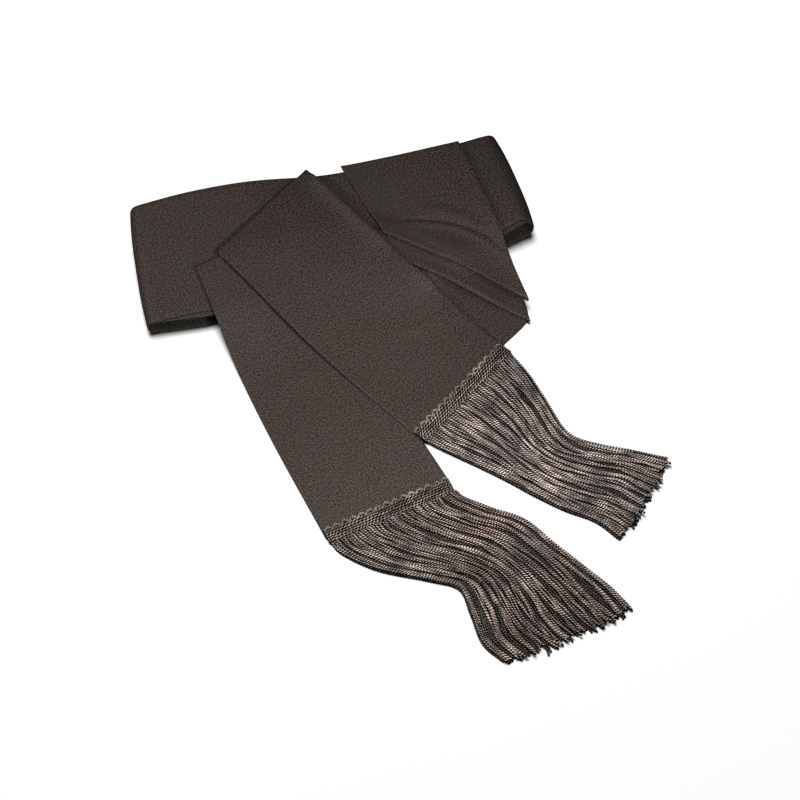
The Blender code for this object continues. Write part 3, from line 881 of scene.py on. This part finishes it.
def edge_stitches(grid, first_row, last_row):
    """Short threads that lie along both long edges of a shell, on its outer side."""
    paths = []
    normal = normals(grid)
    wide = arc_lengths(grid, 1)
    for side in (0, 1):
        line = []
        for i in range(first_row, last_row):
            reach = STITCH_INSET if side == 0 else wide[i, -1] - STITCH_INSET
            point = [np.interp(reach, wide[i], grid[i, :, k]) for k in range(3)]
            up = [np.interp(reach, wide[i], -normal[i, :, k]) for k in range(3)]
            line.append(np.array(point) + np.array(up) * (SHELL / 2 - STITCH_SUNK))
        fine, places = resample(np.array(line), STITCH_LINE)
        start = STITCH_FIRST
        while start + STITCH < places[-1]:
            inside = (places >= start) & (places <= start + STITCH)
            piece = fine[inside].copy()
            arch = np.sin(np.linspace(0, math.pi, len(piece)))
            piece[:, 2] += STITCH_ARCH * arch
            paths.append((piece, 0.0))
            start += STITCH_PITCH
    return paths


# ---------------------------------------------------------------- materials

def add(tree, kind, **inputs):
    node = tree.nodes.new(kind)
    for key, value in inputs.items():
        node.inputs[key.replace("_", " ")].default_value = value
    return node


def mix_colour(tree, factor, a, b, blend="MIX"):
    node = tree.nodes.new("ShaderNodeMix")
    node.data_type = "RGBA"
    node.blend_type = blend
    if isinstance(factor, float):
        node.inputs[0].default_value = factor
    else:
        tree.links.new(factor, node.inputs[0])
    for socket, value in ((node.inputs[6], a), (node.inputs[7], b)):
        if isinstance(value, tuple):
            socket.default_value = (*value, 1.0)
        else:
            tree.links.new(value, socket)
    return node.outputs[2]


def ramp(tree, value, low, high):
    node = tree.nodes.new("ShaderNodeMapRange")
    node.inputs["From Min"].default_value = low
    node.inputs["From Max"].default_value = high
    tree.links.new(value, node.inputs["Value"])
    return node.outputs["Result"]


def noise(tree, vector, scale, detail=2.0, roughness=0.5):
    node = add(tree, "ShaderNodeTexNoise", Scale=scale, Detail=detail, Roughness=roughness)
    tree.links.new(vector, node.inputs["Vector"])
    return node.outputs["Fac"]


def bump(tree, height, strength, distance, under=None):
    node = add(tree, "ShaderNodeBump", Strength=strength, Distance=distance)
    tree.links.new(height, node.inputs["Height"])
    if under is not None:
        tree.links.new(under, node.inputs["Normal"])
    return node.outputs["Normal"]


def new_material(name):
    """A material, its node tree, its shader's inputs and the UV place in metres."""
    material = bpy.data.materials.new(name)
    material.use_nodes = True
    tree = material.node_tree
    uv = tree.nodes.new("ShaderNodeUVMap")
    uv.uv_map = "UVMap"
    return material, tree, tree.nodes["Principled BSDF"].inputs, uv.outputs["UV"]


def cloth_material(name, dark, light):
    """Fine pebbled weave: small mottling of greenish black and red-brown, over fine ribs."""
    material, tree, shader, where = new_material(name)
    speck = ramp(tree, noise(tree, where, 680.0, 1.0, 0.75), 0.34, 0.66)
    patch = ramp(tree, noise(tree, where, 130.0, 3.0), 0.36, 0.64)
    colour = mix_colour(tree, speck, dark, light)
    tinted = mix_colour(tree, patch, (0.94, 1.02, 0.96), (1.06, 0.99, 1.0))
    colour = mix_colour(tree, 1.0, colour, tinted, "MULTIPLY")
    tree.links.new(colour, shader["Base Color"])
    ribs = tree.nodes.new("ShaderNodeTexWave")
    ribs.bands_direction = "Y"
    ribs.inputs["Scale"].default_value = 190.0
    ribs.inputs["Distortion"].default_value = 1.4
    ribs.inputs["Detail"].default_value = 1.0
    ribs.inputs["Detail Scale"].default_value = 2.0
    tree.links.new(where, ribs.inputs["Vector"])
    weave = bump(tree, ribs.outputs["Fac"], 0.5, 0.00015)
    pebble = bump(tree, speck, 0.55, 0.0004, weave)
    tree.links.new(pebble, shader["Normal"])
    shader["Roughness"].default_value = 0.5
    shader["Specular IOR Level"].default_value = 0.3
    shader["Specular Tint"].default_value = (1.0, 0.90, 0.84, 1.0)
    return material


def cord_material(name, dark, light, warmer, highlight_from):
    """Glossy rayon yarn, each cord lighter or browner than the next. Its dark colour is painted
    shade in the grooves between plies and on the cord's underside, its light colour a painted
    highlight on the cord's top, which begins where a point stands up by the share that the last
    argument gives.
    """
    material, tree, shader, where = new_material(name)
    own = ramp(tree, noise(tree, where, 60.0, 3.0, 0.7), 0.38, 0.62)
    fibre = ramp(tree, noise(tree, where, 1400.0, 1.0), 0.3, 0.7)
    crown = tree.nodes.new("ShaderNodeAttribute")
    crown.attribute_name = "crown"
    # Painted shade below the given share of the cord's height, painted highlight above it
    painted_light_share = ramp(tree, crown.outputs["Fac"], highlight_from, 0.95)
    place = tree.nodes.new("ShaderNodeTexCoord").outputs["Object"]
    zone = ramp(tree, noise(tree, place, 42.0, 2.0), 0.36, 0.62)
    bright = mix_colour(tree, own, (0.3, 0.3, 0.3), (1.35, 1.35, 1.35))
    patch = mix_colour(tree, zone, (0.5, 0.5, 0.51), (1.15, 1.15, 1.15))
    bright = mix_colour(tree, 1.0, bright, patch, "MULTIPLY")
    colour = mix_colour(tree, painted_light_share, dark, light)
    warm = ramp(tree, noise(tree, where, 25.0, 2.0), 0.52, 0.70)
    warmth = mix_colour(tree, warm, (1.0, 1.0, 1.0), warmer)
    colour = mix_colour(tree, 1.0, colour, warmth, "MULTIPLY")
    colour = mix_colour(tree, 1.0, colour, bright, "MULTIPLY")
    fibres = mix_colour(tree, fibre, (0.8, 0.8, 0.8), (1.15, 1.15, 1.15))
    colour = mix_colour(tree, 1.0, colour, fibres, "MULTIPLY")
    tree.links.new(colour, shader["Base Color"])
    fuzz = bump(tree, noise(tree, where, 2200.0, 1.0), 0.3, 0.0001)
    tree.links.new(fuzz, shader["Normal"])
    shader["Roughness"].default_value = 0.27
    shader["Specular IOR Level"].default_value = 0.5
    shader["Specular Tint"].default_value = (1.0, 0.88, 0.80, 1.0)
    return material


# ---------------------------------------------------------------- the whole object

def build_band(cloth, cloth_turn_shaded, cloth_inner_shaded):
    """Shells of every stretch; returns the fine grids of the laid ones."""
    coarse = loop_ring(BULGE_OVER)
    below = surface_samples(*coarse_wall(loop_ring(0.0), LOOP_WALL, closed=True))
    outer_coarse = coarse.copy()
    top_rows = slice(LOOP_STATIONS + LOOP_ARC, 2 * LOOP_STATIONS + 1 + LOOP_ARC)
    inward = unit(coarse[top_rows, -2] - coarse[top_rows, -1])
    setback = TURN_SETBACK * smooth_step((coarse[top_rows, -1, 0] - SETBACK_FROM) / SETBACK_OVER)
    outer_coarse[top_rows, -1] += inward * setback[:, None]
    turns = (("loop_outer", outer_coarse, -TURN_OFFSET, cloth),
             ("loop_inner", coarse, TURN_OFFSET, cloth_turn_shaded))
    for name, ring, offset, material in turns:
        grid = refine(refine(ring, 0, FINE + 1, closed=True), 1, FINE + 2)
        grid = grid + normals(grid, closed=True) * offset
        obj = shell(name, grid, TURN_SHELL, TURN_EDGE, material, closed=True)
        finish_piece(obj, "band_cloth", "waist_loop")
    build_core(cloth_inner_shaded)
    grids = {}
    for seed, stretch in enumerate(STRETCHES):
        centre, first, final = laid_stretch(stretch, below)
        below = np.concatenate([below, surface_samples(*coarse_wall(centre, BAND_WALL))])
        grid = dressed_stretch(stretch.name, centre, first, final, 1.3 * seed)
        obj = shell(stretch.name + "_cloth", grid, SHELL, SHELL_EDGE, cloth)
        finish_piece(obj, "band_cloth", stretch.name)
        grids[stretch.name] = (grid, first * FINE, final * FINE, centre)
    return grids


def build_core(material):
    """The hidden turns: one strip folded to and fro between the loop's layers."""
    layers = len(CORE_SHIFTS)
    length = np.hypot(LOOP[-1].x - LOOP[0].x, LOOP[-1].y - LOOP[0].y)
    floor = LOOP_WALL + GAP
    rows = []
    for layer, (shift, shorter) in enumerate(zip(CORE_SHIFTS, CORE_SHORTER)):
        ends = (CORE_END + shorter) / length
        strip = []
        for t in np.linspace(ends, 1 - ends, CORE_STATIONS + 1):
            s = LoopSection(*smooth_row(LOOP, t))
            turn = math.radians(s.heading)
            row = []
            for f in np.linspace(-1, 1, CORE_ACROSS + 1):
                across = f * (s.width / 2 - CORE_INSET) + shift
                top = s.top_front + (s.top_back - s.top_front) * (across / s.width + 0.5)
                ceiling = top - LOOP_WALL - CORE_CLEARANCE
                z = floor + (ceiling - floor) * (layer + 0.5) / layers
                row.append((s.x - math.sin(turn) * across, s.y + math.cos(turn) * across, z))
            strip.append(row)
        strip = np.array(strip)
        if layer % 2:
            strip = strip[::-1]
        if rows:
            outward = unit(rows[-1][-1] - rows[-1][-2])
            rows.append(np.array(fold_arc(rows[-1][-1], strip[0], outward, CORE_FOLD, FOLD_STEPS)))
        rows.append(strip)
    grid = refine(refine(np.concatenate(rows), 0, CORE_FINE), 1, CORE_FINE)
    obj = shell("inner_turns_cloth", grid, CORE_SHELL, CORE_EDGE, material)
    finish_piece(obj, "band_cloth", "inner_turns")


def build_fringe(name, centre, left, right, crown, seed, gimp_materials, cord_materials):
    """Heading and both layers of cords at the end of a tail."""
    end_row = centre[-1].copy()
    end_row[:, 2] = np.maximum(centre[-1][:, 2], centre[-2][:, 2])
    across = unit((end_row[-1] - end_row[0]) * np.array([1, 1, 0]))
    along = np.array([across[1], -across[0], 0.0])
    flow = Flow(end_row, along, left, right, crown, seed)
    trim, tape, tape_flat = gimp(name + "_gimp", flow, *gimp_materials)
    node = "fringe_" + name
    for level, word, section in ((0, "under", TWO_PLY_PLAIN), (1, "top", TWO_PLY)):
        count = CORDS[level]
        cords = [(flow.path(i, count, level), CORD_PHASE * spread(i, seed + 23 + level))
                 for i in range(count)]
        for stray in range(STRAYS * level):
            place = (stray + 0.5 + STRAY_UNEVEN * spread(stray, seed + 41)) / STRAYS
            start = STRAY_MARGIN + (count - 2 * STRAY_MARGIN) * place
            drift = STRAY_DRIFT * (1 if spread(stray, seed + 43) > 0 else -1)
            cords.append((flow.path(start, count, level, drift), 0.0))
        obj = cord_piece(f"{name}_cords_{word}", cords, section, PLY_RADII[level], CORD_TWIST,
                         CORD_STEP, cord_materials[level])
        finish_piece(obj, "fringe_cord", node)
    for piece in trim:
        finish_piece(piece, "fringe_cord", node)
    finish_piece(tape, "fringe_cord", node)


def build_stage(pieces):
    scene = bpy.context.scene
    lit = {name: bpy.data.collections.new("lit_" + name) for name in ("sash", "paper")}
    for piece in pieces:
        lit["sash"].objects.link(piece)
    scene.view_settings.view_transform = "Standard"
    world = bpy.data.worlds.new("studio")
    scene.world = world
    world.use_nodes = True
    background = world.node_tree.nodes["Background"]
    background.inputs["Color"].default_value = (1.0, 1.0, 1.0, 1.0)
    background.inputs["Strength"].default_value = SKY
    mesh = bpy.data.meshes.new("floor")
    mesh.from_pydata([(-4, -4, 0), (4, -4, 0), (4, 4, 0), (-4, 4, 0)], [], [(0, 1, 2, 3)])
    floor = bpy.data.objects.new("floor", mesh)
    scene.collection.objects.link(floor)
    paper = bpy.data.materials.new("white_paper")
    paper.use_nodes = True
    surface = paper.node_tree.nodes["Principled BSDF"].inputs
    surface["Base Color"].default_value = (0.93, 0.93, 0.93, 1.0)
    surface["Roughness"].default_value = 0.9
    surface["Specular IOR Level"].default_value = 0.1
    mesh.materials.append(paper)
    floor.visible_glossy = False
    lit["paper"].objects.link(floor)
    for lamp in LAMPS:
        light = bpy.data.lights.new(lamp.name, "AREA")
        light.shape = "DISK"
        light.size = lamp.size
        light.energy = lamp.power
        obj = bpy.data.objects.new(lamp.name, light)
        direction = -np.array([lamp.x, lamp.y, lamp.z])
        obj.location = (lamp.x, lamp.y, lamp.z)
        obj.rotation_euler = (
            math.atan2(math.hypot(direction[0], direction[1]), -direction[2]), 0.0,
            math.atan2(direction[1], direction[0]) - math.pi / 2)
        scene.collection.objects.link(obj)
        obj.light_linking.receiver_collection = lit[lamp.lights]
    camera = bpy.data.objects.new("camera", bpy.data.cameras.new("camera"))
    camera.data.lens = CAMERA_LENS
    camera.data.sensor_width = CAMERA_SENSOR
    aim = (np.array([*CAMERA_AIM, 0.0]) - ORIGIN) * MM
    camera.location = (aim[0], aim[1] - CAMERA_DISTANCE * math.cos(CAMERA_ELEVATION),
                       CAMERA_DISTANCE * math.sin(CAMERA_ELEVATION))
    camera.rotation_euler = (math.pi / 2 - CAMERA_ELEVATION, 0.0, 0.0)
    scene.collection.objects.link(camera)
    scene.camera = camera


cloth = cloth_material("band_cloth", (0.001, 0.0008, 0.0006), (0.080, 0.059, 0.050))
# Painted shade: the loop's inner turn is a darker and greener copy of the band cloth; its darkness
# stands for the shade inside the loop
cloth_turn_shaded = cloth_material("band_cloth_turn_shaded", (0.0006, 0.0008, 0.0005), (0.056, 0.051, 0.040))
# Painted shade: the hidden turns are a far darker copy of the band cloth, for the deep shade
# between the loop's layers
cloth_inner_shaded = cloth_material("band_cloth_inner_shaded", (0.003, 0.004, 0.003), (0.030, 0.030, 0.022))
# The cords' light colours are painted highlights on their tops and their dark colours painted shade
# in their grooves. The lower fringe's copy is darker than the upper one's and lights less of each
# cord: painted shade for the lower fringe.
cord_top = cord_material("fringe_cord", PAINTED_GROOVE_SHADE, (1.0, 0.84, 0.76), (1.08, 0.90, 0.74), 0.42)
cord_low_shaded = cord_material("fringe_cord_low_shaded", PAINTED_GROOVE_SHADE, (0.95, 0.77, 0.68), (1.10, 0.88, 0.68), 0.50)
# Painted shade: the lower layer of cords is a much darker copy of the cord colours, so that the
# gaps between the upper cords read as shade
cord_under_shaded = cord_material("fringe_cord_under_shaded", (0.001, 0.001, 0.0008), (0.06, 0.048, 0.040),
                           (1.1, 0.85, 0.65), 0.50)
gimp_cord = cord_material("gimp_cord", PAINTED_GROOVE_SHADE, (0.72, 0.60, 0.51), (1.1, 0.92, 0.8), 0.38)
picot_cord = cord_material("picot_cord", (0.006, 0.005, 0.004), (0.85, 0.73, 0.62),
                           (1.1, 0.92, 0.8), 0.32)

laid = build_band(cloth, cloth_turn_shaded, cloth_inner_shaded)
stitches = []
for stretch_name in STITCHED:
    stitches += edge_stitches(*laid[stretch_name][:3])
stitching = cord_piece("edge_stitches", stitches, ROUND_THREAD, STITCH_RADIUS, 0.0, THREAD_STEP,
                       gimp_cord)
finish_piece(stitching, "band_cloth")
for seed, (name, left, right, crown, cord) in enumerate((
        ("lower", FRINGE_LOWER_LEFT, FRINGE_LOWER_RIGHT, LOWER_CROWN, cord_low_shaded),
        ("upper", FRINGE_UPPER_LEFT, FRINGE_UPPER_RIGHT, UPPER_CROWN, cord_top)), start=1):
    build_fringe(name, laid["tail_" + name][3], left, right, crown, seed,
                 (gimp_cord, picot_cord), (cord_under_shaded, cord))

build_stage(pieces)
